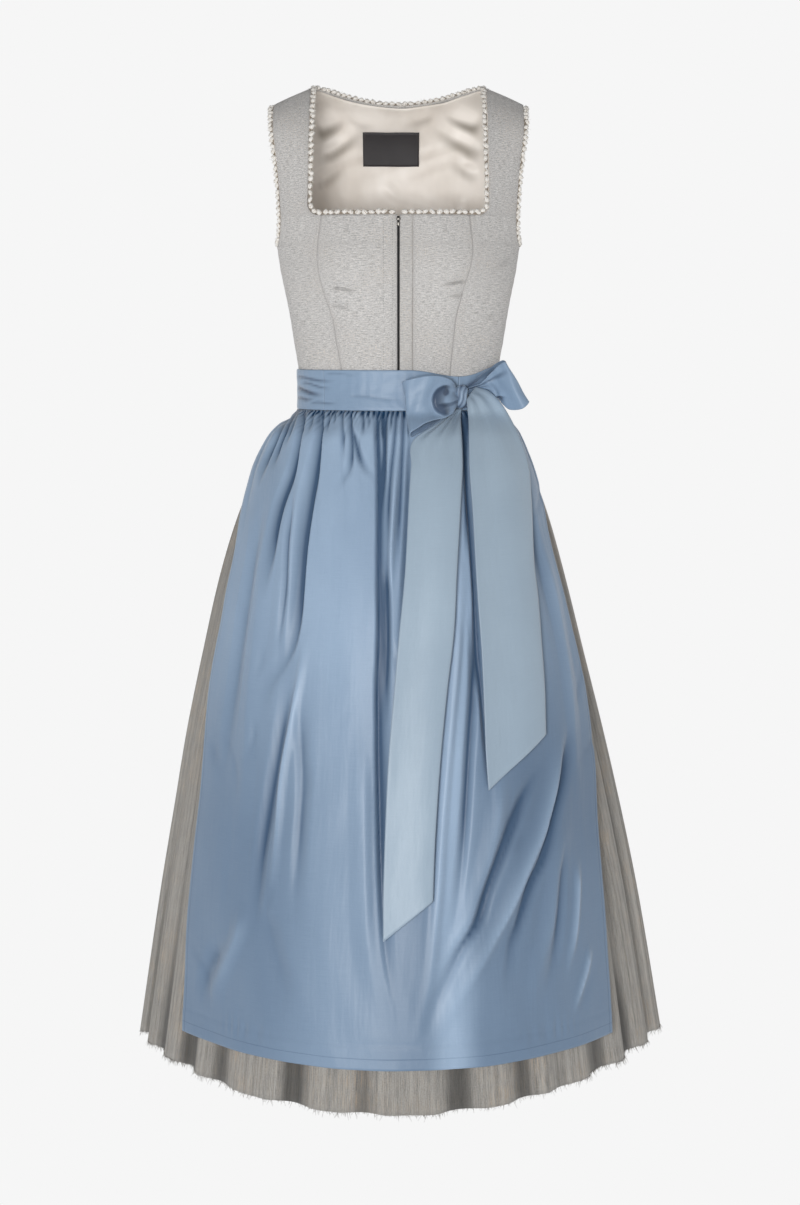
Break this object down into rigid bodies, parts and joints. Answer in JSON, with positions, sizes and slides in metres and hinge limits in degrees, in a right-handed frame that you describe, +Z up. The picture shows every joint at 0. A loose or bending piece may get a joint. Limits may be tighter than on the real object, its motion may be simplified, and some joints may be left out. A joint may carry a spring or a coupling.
{
  "type": "dirndl dress",
  "caption": "Sleeveless dirndl with a square neckline, princess seams, a long gathered skirt and a blue apron tied in a side bow.",
  "frame": {"origin": "midway between the two straps, level with the top of the shoulders, where a wearer's shoulders hold the dress", "axes": "+Z up, -Y towards the front of the dress, +X towards the side with the bow (the wearer's left)"},
  "size_m": [0.6852, 0.6031, 1.2363],
  "materials": {
    "bodice_linen": "matt melange linen, light grey",
    "placket_linen": "matt melange linen, grey",
    "lining_satin": "soft satin, cream",
    "ruched_braid": "ruched cotton braid, cream",
    "skirt_linen": "matt slubbed linen, grey and beige",
    "apron_taffeta": "softly shining taffeta, dusty blue",
    "tail_taffeta": "softly shining taffeta, pale dusty blue",
    "hook_tape": "matt tape, black",
    "woven_label": "bare woven label, black"
  },
  "bodies": {
    "root": {"bodice_front_left": "bodice_linen", "bodice_front_right": "bodice_linen", "front_placket": "placket_linen", "hook_tape": "hook_tape", "bodice_side_front_left": "bodice_linen", "bodice_side_front_right": "bodice_linen", "bodice_back": "bodice_linen", "bodice_back_lining": "lining_satin", "label": "woven_label", "neck_braid": "ruched_braid", "armhole_braid_left": "ruched_braid", "armhole_braid_right": "ruched_braid", "skirt_front": "skirt_linen", "skirt_back": "skirt_linen", "apron": "apron_taffeta", "apron_waistband": "apron_taffeta", "tie_wrap": "apron_taffeta", "bow_knot": "apron_taffeta", "bow_loop_left": "apron_taffeta", "bow_loop_right": "apron_taffeta", "bow_tail_left": "tail_taffeta", "bow_tail_right": "tail_taffeta"}
  },
  "joints": []
}
